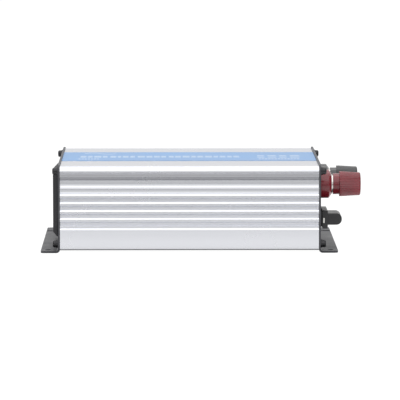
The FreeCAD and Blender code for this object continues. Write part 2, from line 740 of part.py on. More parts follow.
def fan_rotor():
    """Hub cup with its shaft and blades."""
    cup = rod(rotor_x, fan_y, fan_height, hub_radius)
    cup = cup.cut(rod((rotor_x[0] - 1, rotor_x[1] - rotor_face), fan_y, fan_height, hub_radius - rotor_wall))
    shaft = rod((fan_x[0] + 1.0, rotor_x[1] - rotor_face / 2), fan_y, fan_height, fan_shaft_radius)
    blades = []
    for i in range(rotor_blades):
        blade = block((rotor_x[0] + 0.4, rotor_x[1] - 0.4), (fan_y - 0.6, fan_y + 0.6),
                      (fan_height + hub_radius - 0.6, fan_height + rotor_radius))
        blade.rotate(V((fan_x[0] + fan_x[1]) / 2, fan_y, fan_height), V(0, 0, 1), blade_lean)
        blade.rotate(V(0, fan_y, fan_height), V(1, 0, 0), 360.0 * i / rotor_blades)
        blades.append(blade)
    sweep = rod(rotor_x, fan_y, fan_height, rotor_radius)
    return fused([cup, shaft] + blades).common(sweep)


def fan_fixings():
    places = fan_screw_places()
    across, height = fan_nut
    length = plate_thickness + fan_depth + height + 0.6
    screws = group([pan_screw(plate_face, y, z, length) for y, z in places])
    span = (fan_x[0] - height, fan_x[0])
    nuts = group([hexagon(span, y, z, across, screw_radius + thread_gap) for y, z in places])
    return screws, nuts


# ---------------------------------------------------------------- outlet end

def outlet_z():
    """Middle of the outlet above the resting plane."""
    return (case_bottom + case_top) / 2 - outlet_drop


def socket_cuts(span, z):
    """Blade slots and the round earth hole of one socket."""
    blades = [centred(span, middle + side * blade_spacing / 2, z + blade_slot_rise, blade_slot_width, height)
              for side, height in zip((-1, 1), blade_slot_heights)]
    return blades + [rod(span, middle, z - earth_drop, earth_radius)]


def outlet_inside():
    """Width and height of the outlet's body where it passes through the plate."""
    return (outlet_width - 2 * outlet_lip - 2 * panel_fit, outlet_height - 2 * outlet_lip - 2 * panel_fit)


def outlet_housing():
    y, z = middle, outlet_z()
    front = -plate_face - outlet_proud
    raised = centred((front, -plate_face), y, z, outlet_width, outlet_height)
    raised = raised.makeChamfer(outlet_chamfer, edges_at_x(raised, front))
    width, height = outlet_inside()
    back = -plate_face + outlet_body_depth
    body = centred((-plate_face, back - outlet_cover), y, z, width, height)
    cuts = [centred((-plate_face + outlet_face, back), y, z, width - 2 * outlet_wall, height - 2 * outlet_wall)]
    for side in (-1, 1):
        cuts += socket_cuts((front - 1, -plate_face + outlet_face + 1), z + side * socket_spacing / 2)
    return fused([raised, body]).cut(cuts)


def outlet_back():
    y, z = middle, outlet_z()
    back = -plate_face + outlet_body_depth
    width, height = outlet_inside()
    cover = centred((back - outlet_cover, back), y, z, width, height)
    plug = centred((back - outlet_cover - outlet_plug, back - outlet_cover), y, z,
                   width - 2 * outlet_wall - 2 * slide_gap, height - 2 * outlet_wall - 2 * slide_gap)
    return fused([cover, plug])


def outlet_contacts():
    """Spring contact strips behind the slots, one for each conductor."""
    z = outlet_z()
    start = -plate_face + outlet_face + 2.0
    end = -plate_face + outlet_body_depth - outlet_cover - outlet_plug - 0.4
    height = socket_spacing + 2 * earth_drop
    strips = []
    for offset, gap, thick in zip((-blade_spacing / 2, blade_spacing / 2, 0.0), contact_gaps,
                                  contact_thicknesses):
        y = middle + offset
        legs = [centred((start, end), y + side * (gap + thick) / 2, z, thick, height) for side in (-1, 1)]
        web = centred((end - thick, end), y, z, gap + thick, height)
        strips.append(fused(legs + [web]))
    return group(strips)


def rocker_parts():
    """Switch body, its rocking key and its rear tabs."""
    y, z = switch_y, switch_height
    bezel_width, bezel_height, bezel_proud = switch_bezel
    body_width, body_height, body_depth = switch_body
    face = -plate_face - bezel_proud
    bezel = centred((face, -plate_face), y, z, bezel_width, bezel_height)
    body = centred((-plate_face, -plate_face + body_depth), y, z, body_width, body_height)
    well = centred((face - 1, -plate_face + switch_well), y, z, body_width - key_gap[0] + 2 * key_side_gap,
                   body_height - key_gap[1] + 2 * key_end_gap)
    pivot_x = -plate_face + key_pivot
    hole_start = y - body_width / 2 + axle_wall
    axle_hole = Part.makeCylinder(key_axle_radius + thread_gap, body_width - 2 * axle_wall,
                                  V(pivot_x, hole_start, z), V(0, 1, 0))
    case = fused([bezel, body]).cut([well, axle_hole])
    half = (body_height - key_gap[1]) / 2
    width = body_width - key_gap[0]
    corners = [(pivot_x + 2.4, z - 4), (pivot_x + 2.4, z + 4), (pivot_x - 1.4, z + half),
               (face - 0.3, z + half, 0.4), (face + 0.4, z), (face - 2.1, z - half, 0.4),
               (pivot_x - 1.4, z - half)]
    key = prism(corners, "y", (y - width / 2, y + width / 2))
    axle = Part.makeCylinder(key_axle_radius, body_width - 2 * axle_wall - 2 * key_side_gap,
                             V(pivot_x, hole_start + key_side_gap, z), V(0, 1, 0))
    back = -plate_face + body_depth
    tab_length, tab_width, tab_thickness = tab_size
    tabs = group([centred((back, back + tab_length), y, z + step, tab_width, tab_thickness)
                  for step in (-tab_step, 0.0, tab_step)])
    return case, fused([key, axle]), tabs


def lamp(z):
    y = side_a + lamp_inset
    overlap, proud = lamp_rim
    rim_start = -plate_face - proud
    rim = rod((rim_start, -plate_face), y, z, lamp_radius + overlap)
    rim = rim.makeFillet(0.5, edges_at_x(rim, rim_start))
    return fused([rim, rod((-plate_face, -case_end + 5), y, z, lamp_radius)])


def charger_parts():
    """Charging socket: metal shell, plastic tongue and small board."""
    y, z = side_a + charger_inset, charger_height
    width, height, depth = charger_size
    inner_width, inner_height = width - 2 * charger_wall, height - 2 * charger_wall
    span = (-plate_face, -plate_face + depth)
    shell = centred(span, y, z, width, height).cut(
        centred((span[0] - 1, span[1] - charger_wall), y, z, inner_width, inner_height))
    tongue = fused([
        centred((span[0] + 1.0, span[1] - charger_block), y, z + charger_tongue / 2, inner_width - 2.4,
                charger_tongue),
        centred((span[1] - charger_block, span[1] - charger_wall), y, z, inner_width, inner_height)])
    length, extra, thick = charger_board
    start = span[0] + charger_board_start
    board = centred((start, start + length), y, z - (height + thick) / 2, width + extra, thick)
    return shell, tongue, board


# ---------------------------------------------------------------- board and parts on it

def board_side(far_side, low, high):
    """Range on Y given as insets from one side of the case."""
    return (side_b - high, side_b - low) if far_side else (side_a + low, side_a + high)


def main_board():
    edge = wall_inside + slide_gap
    return block(board_ends, (side_a + edge, side_b - edge), (board_bottom, board_top))


def standing(x, y, size, base):
    """Box centred on (x, y) that stands on a base height."""
    return block((x - size[0] / 2, x + size[0] / 2), (y - size[1] / 2, y + size[1] / 2), (base, base + size[2]))


clamp_inset = wall_inside + pad_depth + thermal_pad
clamp_front = clamp_inset + transistor_body[1] + clamp_thickness
clamp_z = board_top + clamp_span[1] - 4.0
clamp_reach = transistor_count / 2 * transistor_pitch
clamp_places = (board_middle - clamp_reach, board_middle + clamp_reach)


def clamp_screw_rods(far_side, spare):
    """Shanks of the two screws that pull a clamp bar to the wall."""
    low, high = board_side(far_side, wall_inside - 1.0, clamp_front + clamp_head_height - 0.7)
    return [Part.makeCylinder(screw_radius + spare, high - low, V(x, low, clamp_z), V(0, 1, 0))
            for x in clamp_places]


def transistor(x, far_side):
    """Flat-tab transistor against the wall, on its three legs."""
    width, thick, height = transistor_tab
    foot = board_top + transistor_rise
    side = (x - width / 2, x + width / 2)
    tab = block(side, board_side(far_side, clamp_inset, clamp_inset + thick), (foot, foot + height))
    body = block(side, board_side(far_side, clamp_inset, clamp_inset + transistor_body[1]),
                 (foot, foot + transistor_body[2]))
    legs = [block((x + step - leg_size[0] / 2, x + step + leg_size[0] / 2),
                  board_side(far_side, clamp_inset + 2, clamp_inset + 2 + leg_size[1]), (board_top, foot))
            for step in (-leg_spacing, 0, leg_spacing)]
    return fused([tab, body] + legs)


def power_stage(far_side):
    """Transistors on one side wall, with their pad, clamp bar and screws."""
    places = [board_middle + (i - (transistor_count - 1) / 2) * transistor_pitch
              for i in range(transistor_count)]
    edge = transistor_tab[0] / 2 + thermal_pad_margin
    foot = board_top + transistor_rise
    pad = block((places[0] - edge, places[-1] + edge),
                board_side(far_side, wall_inside + pad_depth, clamp_inset),
                (foot - thermal_pad_margin, foot + transistor_tab[2] + thermal_pad_margin))
    upright = (board_top + clamp_span[0], board_top + clamp_span[1])
    bar = block((clamp_places[0] - clamp_end, clamp_places[1] + clamp_end),
                board_side(far_side, clamp_inset + transistor_body[1], clamp_front), upright)
    ends = [block((x - 3, x + 3), board_side(far_side, wall_inside + pad_depth, clamp_front - 1), upright)
            for x in clamp_places]
    bar = fused([bar] + ends).cut(clamp_screw_rods(far_side, screw_clearance))
    low, high = board_side(far_side, clamp_front, clamp_front + clamp_head_height)
    screws = [fused([Part.makeCylinder(screw_head_radius, high - low, V(x, low, clamp_z), V(0, 1, 0)), shank])
              for x, shank in zip(clamp_places, clamp_screw_rods(far_side, 0))]
    return pad, group([transistor(x, far_side) for x in places]), bar, group(screws)


def transformers():
    """Two step-up transformers, each a ferrite core with one winding."""
    cores = []
    windings = []
    width, depth, height = core_size
    window_width, window_height = core_window
    base = board_top + core_rise
    sill = base + (height - window_height) / 2
    for place in core_places:
        x = board_middle + place
        core = standing(x, middle, core_size, base)
        for side in (-1, 1):
            window = x + side * (core_leg + window_width) / 2
            core = core.cut(standing(window, middle, (window_width, depth + 2, window_height), sill))
        coil = standing(x, middle, winding_size, sill + (window_height - winding_size[2]) / 2)
        coil = coil.makeFillet(3.0, [e for e in coil.Edges if e.BoundBox.ZLength > winding_size[2] - 0.1])
        leg = (core_leg + 2 * winding_gap, depth + 4 * winding_gap, height)
        cores.append(core)
        windings.append(coil.cut(standing(x, middle, leg, base)))
    return group(cores), group(windings)


def can(x, y, size):
    """Electrolytic capacitor standing on the board."""
    radius, height = size
    body = Part.makeCylinder(radius, height, V(x, y, board_top))
    return body.makeFillet(can_rim, [e for e in body.Edges if e.BoundBox.ZLength < 1e-6])


def capacitors():
    row, inset = input_can_places
    inputs = group([can(board_ends[1] - inset, middle + row + step * input_can_pitch, input_can)
                    for step in (-1, 0, 1)])
    bulk = can(board_middle + bulk_can_place[0], middle + bulk_can_place[1], bulk_can)
    film = standing(board_middle + film_place[0], middle + film_place[1], film_size, board_top)
    return inputs, bulk, film.makeFillet(1.0, [e for e in film.Edges if e.BoundBox.ZLength > 1])


def choke():
    """Output filter choke: a ring core with two windings."""
    outside = choke_core_radius + choke_wire
    centre = V(board_middle + choke_place[0], middle + choke_place[1],
               board_top + choke_lift + choke_radius + outside)
    core = Part.makeTorus(choke_radius, choke_core_radius, centre, V(0, 1, 0))
    windings = []
    for start in (20, 200):
        coil = Part.makeTorus(choke_radius, outside, V(0, 0, 0), V(0, 0, 1), -180, 180, choke_turned)
        coil = coil.cut(Part.makeTorus(choke_radius, choke_core_radius + thread_gap, V(0, 0, 0), V(0, 0, 1)))
        coil.rotate(V(0, 0, 0), V(0, 0, 1), start)
        coil.rotate(V(0, 0, 0), V(1, 0, 0), 90)
        coil.translate(centre)
        windings.append(coil)
    return core, group(windings)


def control_board():
    """Upright board with the control circuit, on a pin strip."""
    x, y = board_middle + card_place[0], middle + card_place[1]
    strip = standing(x, y, strip_size, board_top)
    return standing(x, y, card_size, board_top + strip_size[2]), strip


# ---------------------------------------------------------------- assembly

def all_nodes():
    nodes = {"case_shell": case_shell(), "bottom_plate": bottom_plate(), "top_label": top_label(),
             "dc_end_plate": dc_end_plate(), "ac_end_plate": ac_end_plate(),
             "dc_plate_screws": plate_screws(), "ac_plate_screws": other_end(plate_screws()),
             "plate_washers": group([plate_washers(), other_end(plate_washers())])}
    for colour, y in (("red", red_y), ("black", black_y)):
        nodes[colour + "_post_base"] = post_base(y)
        nodes[colour + "_post_stud"] = post_stud(y)
        nodes[colour + "_knob_washer"] = knob_washer(y)
        nodes[colour + "_knob_insert"] = knob_insert(y)
        nodes[colour + "_knob"] = knob(y)
    nodes["post_bushes"] = group([post_bush(y) for y in (red_y, black_y)])
    nodes["post_nuts"] = post_nuts()
    nodes["fuse_holder"] = fuse_holder()
    nodes["fuse_carrier"] = fuse_carrier()
    nodes["carrier_springs"] = carrier_springs()
    nodes["fuse_body"], nodes["fuse_blades"], nodes["fuse_clips"] = fuse_parts()
    nodes["red_strap"], nodes["fuse_strap"], nodes["black_strap"] = dc_straps()
    nodes["fan_frame"] = fan_frame()
    nodes["fan_rotor"] = fan_rotor()
    nodes["fan_screws"], nodes["fan_nuts"] = fan_fixings()
    nodes["outlet_housing"] = outlet_housing()
    nodes["outlet_back"] = outlet_back()
    nodes["outlet_contacts"] = outlet_contacts()
    nodes["outlet_leads"] = outlet_leads()
    nodes["switch_body"], nodes["switch_rocker"], nodes["switch_tabs"] = rocker_parts()
    nodes["power_lamp"], nodes["fault_lamp"] = [lamp(z) for z in lamp_heights]
    nodes["charger_shell"], nodes["charger_tongue"], nodes["charger_board"] = charger_parts()
    nodes["main_board"] = main_board()
    stages = zip(power_stage(False), power_stage(True))
    for name, pair in zip(("thermal_pads", "transistors", "clamp_bars", "clamp_screws"), stages):
        nodes[name] = group(pair)
    nodes["transformer_cores"], nodes["transformer_windings"] = transformers()
    nodes["input_capacitors"], nodes["bulk_capacitor"], nodes["film_capacitor"] = capacitors()
    nodes["choke_core"], nodes["choke_windings"] = choke()
    nodes["control_board"], nodes["pin_strip"] = control_board()
    return nodes


os.makedirs("parts", exist_ok=True)
for node, shape in all_nodes().items():
    if not shape.isValid():
        raise ValueError(node + " is not a valid shape")
    shape.exportStep("parts/" + node + ".step")
    print(node, len(shape.Solids), round(shape.Volume, 1))
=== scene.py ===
"""Looks of a small power inverter, laid out as an add-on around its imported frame."""
import math

import bmesh
import bpy
from bpy.props import FloatProperty, FloatVectorProperty, IntProperty, PointerProperty
from mathutils import Matrix, Vector


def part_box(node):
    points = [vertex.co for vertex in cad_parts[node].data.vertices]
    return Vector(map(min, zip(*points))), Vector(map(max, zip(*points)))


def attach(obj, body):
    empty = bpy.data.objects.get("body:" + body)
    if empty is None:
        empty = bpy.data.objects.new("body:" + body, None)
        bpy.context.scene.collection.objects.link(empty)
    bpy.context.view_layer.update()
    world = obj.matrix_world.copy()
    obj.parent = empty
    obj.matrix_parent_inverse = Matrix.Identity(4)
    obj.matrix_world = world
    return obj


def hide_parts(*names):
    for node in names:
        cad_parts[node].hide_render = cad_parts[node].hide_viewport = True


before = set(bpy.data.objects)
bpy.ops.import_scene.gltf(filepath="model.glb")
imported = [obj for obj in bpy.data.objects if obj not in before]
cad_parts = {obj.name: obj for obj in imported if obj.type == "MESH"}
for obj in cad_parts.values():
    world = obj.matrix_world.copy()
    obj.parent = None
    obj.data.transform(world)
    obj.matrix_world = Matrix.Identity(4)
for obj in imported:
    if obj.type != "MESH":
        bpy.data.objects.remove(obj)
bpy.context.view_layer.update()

bl_info = {
    "name": "Power inverter",
    "version": (1, 0, 0),
    "blender": (4, 5, 0),
    "location": "3D View > Sidebar > Inverter",
    "description": "Finishes, printing, posts and studio of a small power inverter",
    "category": "Object",
}

MM = 0.001
case_low, case_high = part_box("case_shell")
plate_low, plate_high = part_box("dc_end_plate")
label_low, label_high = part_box("top_label")
TURN = 2 * math.pi


# ---------------------------------------------------------------- settings

def length(name, text, default):
    return FloatProperty(name=name, description=text, default=default, unit="LENGTH", precision=5)


def amount(name, text, default):
    return FloatProperty(name=name, description=text, default=default, min=0.0)


def colour(name, text, default):
    return FloatVectorProperty(name=name, description=text, default=default, size=3, subtype="COLOR",
                               min=0.0, max=1.0)


class InverterColours(bpy.types.PropertyGroup):
    aluminium: colour("Aluminium", "Anodised case", (0.80, 0.81, 0.85))
    label: colour("Label", "Printed band on the top", (0.213, 0.394, 0.680))
    ink: colour("Ink", "Light printing", (0.93, 0.95, 0.97))
    sheet: colour("Sheet", "Powder coat of the end plates", (0.054, 0.055, 0.064))
    red: colour("Red", "Positive post", (0.210, 0.010, 0.020))
    black: colour("Black", "Dark mouldings", (0.010, 0.010, 0.013))
    board: colour("Board", "Solder mask", (0.012, 0.110, 0.045))
    copper: colour("Copper", "Straps", (0.72, 0.33, 0.19))


class InverterPosts(bpy.types.PropertyGroup):
    flutes: IntProperty(name="Flutes", description="Grooves around each knob", default=44, min=8, max=72)
    flute_depth: length("Flute depth", "Depth of the grooves", 0.30 * MM)
    edge: length("Edge", "Rounding of the moulded edges", 0.5 * MM)
    seat: length("Seat", "Clear space at the brass core", 0.02 * MM)
    sheet: length("Sheet", "Thickness of the end plates", 1.6 * MM)
    stud_bore: length("Stud bore", "Radius of the hole for the stud", 3.1 * MM)
    spigot: length("Spigot", "Radius of the base in the plate", 5.9 * MM)
    cone_length: length("Cone length", "Sloping end of the base", 2.1 * MM)
    cone_radius: length("Cone radius", "Radius at the end of the slope", 8.6 * MM)
    neck_length: length("Neck length", "Plain neck of the knob", 5.1 * MM)
    neck_radius: length("Neck radius", "Radius of the plain neck", 8.5 * MM)
    tip_radius: length("Tip radius", "Radius of the knob at its tip", 9.4 * MM)
    tip_round: length("Tip rounding", "Rounding of the knob's tip", 1.6 * MM)
    dish_radius: length("Dish radius", "Radius of the shallow dish in the tip", 4.4 * MM)
    dish_depth: length("Dish depth", "Depth of the shallow dish", 0.45 * MM)


class InverterPrint(bpy.types.PropertyGroup):
    film_round: length("Film corner", "Corner radius of the label film", 0.6 * MM)
    ink_height: length("Ink height", "Printing stands this far off its ground", 0.03 * MM)
    main_row: length("Main row", "Height of the main row of marks", 9.0 * MM)
    small_row: length("Small row", "Height of the small rows of marks", 4.0 * MM)
    stroke: length("Stroke", "Line width of the marks", 2.0 * MM)
    sign_size: length("Sign size", "Width of the plus and minus signs", 6.0 * MM)
    sign_offset: length("Sign offset", "From a post's axis to its sign", 16.5 * MM)


class InverterStage(bpy.types.PropertyGroup):
    lens: FloatProperty(name="Lens", description="Focal length in millimetres", default=279.0, min=20,
                        max=600)
    distance: length("Distance", "Camera to the case's near side", 2.480)
    pitch: FloatProperty(name="Pitch", description="Downward tilt of the camera", default=math.radians(6.9),
                         subtype="ANGLE")
    yaw: FloatProperty(name="Yaw", description="Turn of the camera to the right", default=math.radians(0.57),
                       subtype="ANGLE")
    across: length("Across", "View centre to the right of the case's middle", 0.0084)
    above: length("Above", "View centre over the resting plane", 0.0424)
    top_light: amount("Top light", "Power of the overhead softbox", 24.0)
    front_light: amount("Front light", "Power of the front card", 2.5)
    side_light: amount("Side light", "Power of each side card", 3.0)
    softbox_width: length("Softbox width", "Overhead softbox along the case", 1.8)
    softbox_length: length("Softbox length", "Overhead softbox across the case", 3.6)
    softbox_forward: length("Softbox forward", "Softbox middle in front of the case's middle", 0.95)
    softbox_height: length("Softbox height", "Softbox over the case's middle", 1.3)
    room_front: amount("Room in front", "Brightness before the object", 0.28)
    room_back: amount("Room behind", "Brightness behind the object", 0.82)
    room_top: amount("Room overhead", "Extra brightness overhead", 0.15)
    floor_inside: length("Floor inside", "The glow is counted from this far under the case", 0.02)
    floor_fade: length("Floor fade", "Distance over which the glow of the floor changes", 0.92)
    floor_shadow: FloatProperty(name="Floor shadow", description="How far shadows show on the floor",
                                default=0.10, min=0, max=1)


# ---------------------------------------------------------------- shader helpers

def add(tree, kind, values=None, **settings):
    """Node of a kind, with its settings and its inputs' values."""
    made = tree.nodes.new(kind)
    for key, value in settings.items():
        setattr(made, key, value)
    for key, value in (values or {}).items():
        made.inputs[key].default_value = value
    return made


def group_of(name, inputs, outputs):
    """Empty shader group with its named sockets, and its two end nodes."""
    tree = bpy.data.node_groups.new(name, "ShaderNodeTree")
    for label, kind, value in inputs:
        socket = tree.interface.new_socket(name=label, in_out="INPUT", socket_type=kind)
        if value is not None:
            socket.default_value = value
    for label, kind in outputs:
        tree.interface.new_socket(name=label, in_out="OUTPUT", socket_type=kind)
    return tree, tree.nodes.new("NodeGroupInput"), tree.nodes.new("NodeGroupOutput")


def patches_group():
    """Soft cloudy mask from 0 to 1."""
    tree, start, end = group_of("soft patches", [("Vector", "NodeSocketVector", None),
                                                 ("Scale", "NodeSocketFloat", 40.0)],
                                [("Mask", "NodeSocketFloat")])
    noise = add(tree, "ShaderNodeTexNoise", {"Detail": 4.0, "Roughness": 0.55})
    ramp = add(tree, "ShaderNodeMapRange", {"From Min": 0.32, "From Max": 0.68})
    tree.links.new(start.outputs["Vector"], noise.inputs["Vector"])
    tree.links.new(start.outputs["Scale"], noise.inputs["Scale"])
    tree.links.new(noise.outputs["Fac"], ramp.inputs["Value"])
    tree.links.new(ramp.outputs["Result"], end.inputs["Mask"])
    return tree


def grain_group():
    """Fine height that can be drawn out along an axis, as drawing lines or moulded texture."""
    tree, start, end = group_of("fine grain", [("Vector", "NodeSocketVector", None),
                                               ("Stretch", "NodeSocketVector", (1.0, 1.0, 1.0)),
                                               ("Scale", "NodeSocketFloat", 1500.0)],
                                [("Height", "NodeSocketFloat")])
    mapping = add(tree, "ShaderNodeMapping")
    noise = add(tree, "ShaderNodeTexNoise", {"Detail": 3.0, "Roughness": 0.6})
    tree.links.new(start.outputs["Vector"], mapping.inputs["Vector"])
    tree.links.new(start.outputs["Stretch"], mapping.inputs["Scale"])
    tree.links.new(mapping.outputs["Vector"], noise.inputs["Vector"])
    tree.links.new(start.outputs["Scale"], noise.inputs["Scale"])
    tree.links.new(noise.outputs["Fac"], end.inputs["Height"])
    return tree


def specks_group():
    """Small separate spots, as dust or sparkle, from 0 to 1."""
    tree, start, end = group_of("specks", [("Vector", "NodeSocketVector", None),
                                           ("Scale", "NodeSocketFloat", 900.0),
                                           ("Size", "NodeSocketFloat", 0.18)],
                                [("Mask", "NodeSocketFloat")])
    cells = add(tree, "ShaderNodeTexVoronoi")
    limit = add(tree, "ShaderNodeMath", operation="LESS_THAN")
    tree.links.new(start.outputs["Vector"], cells.inputs["Vector"])
    tree.links.new(start.outputs["Scale"], cells.inputs["Scale"])
    tree.links.new(cells.outputs["Distance"], limit.inputs[0])
    tree.links.new(start.outputs["Size"], limit.inputs[1])
    tree.links.new(limit.outputs["Value"], end.inputs["Mask"])
    return tree


GROUPS = {"patches": patches_group, "grain": grain_group, "specks": specks_group}
built_groups = {}


def shared(tree, name, vector, values):
    """One of the shared groups, placed in a material with its own values."""
    if name not in built_groups:
        built_groups[name] = GROUPS[name]()
    made = tree.nodes.new("ShaderNodeGroup")
    made.node_tree = built_groups[name]
    tree.links.new(vector, made.inputs["Vector"])
    for key, value in values.items():
        made.inputs[key].default_value = value
    return made.outputs[0]


def ranged(tree, mask, low, high):
    made = add(tree, "ShaderNodeMapRange", {"To Min": low, "To Max": high})
    tree.links.new(mask, made.inputs["Value"])
    return made.outputs["Result"]


def mixed(tree, mask, first, second):
    """Colour between two colours or colour sockets."""
    made = add(tree, "ShaderNodeMix", data_type="RGBA")
    tree.links.new(mask, made.inputs["Factor"])
    for socket, value in ((made.inputs[6], first), (made.inputs[7], second)):
        if isinstance(value, bpy.types.NodeSocket):
            tree.links.new(value, socket)
        else:
            socket.default_value = (*value, 1.0)
    return made.outputs[2]


def scaled(tone, factor):
    return tuple(min(1.0, part * factor) for part in tone)


class Surface:
    """A material under construction: its tree, shader and object coordinates."""

    def __init__(self, name, roughness, metallic=0.0, **sockets):
        self.material = bpy.data.materials.new(name)
        self.material.use_nodes = True
        self.tree = self.material.node_tree
        self.shader = self.tree.nodes["Principled BSDF"]
        self.shader.inputs["Roughness"].default_value = roughness
        self.shader.inputs["Metallic"].default_value = metallic
        for key, value in sockets.items():
            self.shader.inputs[key.replace("_", " ")].default_value = value
        self.place = add(self.tree, "ShaderNodeTexCoord").outputs["Object"]

    def tint(self, tone, spread, scale):
        """Colour that drifts a little either side of a tone; returns the mask."""
        mask = shared(self.tree, "patches", self.place, {"Scale": scale})
        self.colour = mixed(self.tree, mask, scaled(tone, 1 - spread), scaled(tone, 1 + spread))
        self.tree.links.new(self.colour, self.shader.inputs["Base Color"])
        return mask

    def overlay(self, mask, tone):
        """Another colour where the mask is 1."""
        self.colour = mixed(self.tree, mask, self.colour, tone)
        self.tree.links.new(self.colour, self.shader.inputs["Base Color"])

    def gloss(self, mask, low, high):
        self.tree.links.new(ranged(self.tree, mask, low, high), self.shader.inputs["Roughness"])

    def relief(self, height, strength, depth):
        bump = add(self.tree, "ShaderNodeBump", {"Strength": strength, "Distance": depth})
        self.tree.links.new(height, bump.inputs["Height"])
        if self.shader.inputs["Normal"].is_linked:
            self.tree.links.new(self.shader.inputs["Normal"].links[0].from_socket, bump.inputs["Normal"])
        self.tree.links.new(bump.outputs["Normal"], self.shader.inputs["Normal"])

    def grain(self, scale, stretch=(1.0, 1.0, 1.0)):
        return shared(self.tree, "grain", self.place, {"Scale": scale, "Stretch": stretch})

    def specks(self, scale, size):
        return shared(self.tree, "specks", self.place, {"Scale": scale, "Size": size})

    def axis(self, name):
        """One object coordinate as a value."""
        return add_linked(self.tree, "ShaderNodeSeparateXYZ", self.place).outputs[name]

    def band(self, axis, low, high, soft):
        """Mask that is 1 between two places on an axis."""
        value = self.axis(axis)
        rise = add(self.tree, "ShaderNodeMapRange", {"From Min": low - soft, "From Max": low + soft})
        fall = add(self.tree, "ShaderNodeMapRange", {"From Min": high - soft, "From Max": high + soft,
                                                     "To Min": 1.0, "To Max": 0.0})
        both = add(self.tree, "ShaderNodeMath", operation="MULTIPLY")
        self.tree.links.new(value, rise.inputs["Value"])
        self.tree.links.new(value, fall.inputs["Value"])
        self.tree.links.new(rise.outputs["Result"], both.inputs[0])
        self.tree.links.new(fall.outputs["Result"], both.inputs[1])
        return both.outputs["Value"]

    def product(self, first, second):
        both = add(self.tree, "ShaderNodeMath", operation="MULTIPLY")
        self.tree.links.new(first, both.inputs[0])
        self.tree.links.new(second, both.inputs[1])
        return both.outputs["Value"]


def add_linked(tree, kind, source):
    made = tree.nodes.new(kind)
    tree.links.new(source, made.inputs[0])
    return made


# ---------------------------------------------------------------- materials

# Height bands under the case's top drawn darker as painted shade, standing in for profile slopes that the
# shape lacks, as (drop to the foot, height) in millimetres
PAINTED_SHADE_BANDS = ((14.4, 8.7), (20.2, 3.8))
SPECKLED_BAND = (14.5, 4.6)     # drop to its foot and to its top


def anodised_aluminium(tone):
    """Satin anodised extrusion with fine drawing lines, painted shade in two bands and speckled near the top.
    """
    s = Surface("anodised aluminium", 0.36, 1.0)
    mask = s.tint(tone, 0.008, 26.0)
    lines = s.grain(2600.0, (0.002, 1.0, 1.0))
    # painted shade: two height bands drawn darker where the profile's slopes would be shaded
    for drop, height in PAINTED_SHADE_BANDS:
        low = case_high.z - drop * MM
        s.overlay(s.band("Z", low, low + height * MM, 0.5 * MM), scaled(tone, 0.66))
    foot, top = [case_high.z - drop * MM for drop in SPECKLED_BAND]
    s.overlay(s.product(s.specks(1500.0, 0.22), s.band("Z", foot, top, MM)), scaled(tone, 0.52))
    s.gloss(mask, 0.264, 0.276)
    s.relief(lines, 0.08, 0.00002)
    s.relief(s.grain(3200.0), 0.10, 0.00002)
    return s.material


def cut_aluminium(tone):
    """Plain mill-finish aluminium of the inner bars and the bottom plate."""
    s = Surface("mill aluminium", 0.42, 1.0)
    mask = s.tint(scaled(tone, 0.95), 0.05, 60.0)
    s.gloss(mask, 0.36, 0.50)
    s.relief(s.grain(900.0, (0.02, 1.0, 1.0)), 0.25, 0.00008)
    return s.material


def label_film(tone):
    """Printed film with a faint drift in its ink and a soft surface."""
    s = Surface("label film", 0.46, Coat_Weight=0.15, Coat_Roughness=0.35)
    mask = s.tint(tone, 0.03, 18.0)
    s.overlay(ranged(s.tree, s.specks(700.0, 0.10), 0.0, 0.25), scaled(tone, 1.25))
    s.gloss(mask, 0.42, 0.52)
    s.relief(s.grain(2200.0), 0.12, 0.00004)
    return s.material


def printing_ink(name, tone):
    s = Surface(name, 0.5)
    mask = s.tint(tone, 0.04, 300.0)
    s.gloss(mask, 0.44, 0.58)
    s.relief(s.grain(2600.0), 0.15, 0.00003)
    return s.material


def powder_coat(tone):
    """Fine-textured black coat, with light grey specks on the feet."""
    s = Surface("powder coat", 0.42)
    mask = s.tint(tone, 0.18, 45.0)
    foot_specks = s.product(s.band("Z", 0.5 * MM, 3.0 * MM, MM), s.specks(1100.0, 0.20))
    s.overlay(ranged(s.tree, foot_specks, 0.0, 0.35), (0.32, 0.31, 0.30))
    s.gloss(mask, 0.36, 0.48)
    s.relief(s.grain(1700.0), 0.5, 0.00007)
    return s.material


def black_oxide():
    """Oiled black screw heads with bright worn specks."""
    s = Surface("black oxide", 0.28, 0.75)
    mask = s.tint((0.045, 0.045, 0.048), 0.25, 500.0)
    s.overlay(ranged(s.tree, s.specks(2600.0, 0.12), 0.0, 0.5), (0.20, 0.20, 0.21))
    s.gloss(mask, 0.20, 0.34)
    s.relief(s.grain(2400.0), 0.2, 0.00004)
    return s.material


def glossy_moulding(name, tone, low, high, coat):
    """Glossy thermoplastic with slight flow marks."""
    s = Surface(name, low, Coat_Weight=coat, Coat_Roughness=0.12)
    mask = s.tint(tone, 0.14, 90.0)
    s.overlay(ranged(s.tree, s.specks(1300.0, 0.11), 0.0, 0.18), scaled(tone, 2.6))
    s.gloss(mask, low, high)
    s.relief(s.grain(1300.0), 0.12, 0.00005)
    return s.material


def matt_moulding(name, tone, scale=1500.0):
    """Spark-eroded matt plastic."""
    s = Surface(name, 0.55)
    mask = s.tint(tone, 0.15, 120.0)
    s.gloss(mask, 0.48, 0.64)
    s.relief(s.grain(scale), 0.45, 0.00007)
    return s.material


def turned_metal(name, tone, low, high):
    """Bright metal with turning rings around the X axis."""
    s = Surface(name, low, 1.0)
    mask = s.tint(tone, 0.06, 200.0)
    s.gloss(mask, low, high)
    s.relief(s.grain(1200.0, (1.0, 0.08, 0.08)), 0.2, 0.00005)
    return s.material


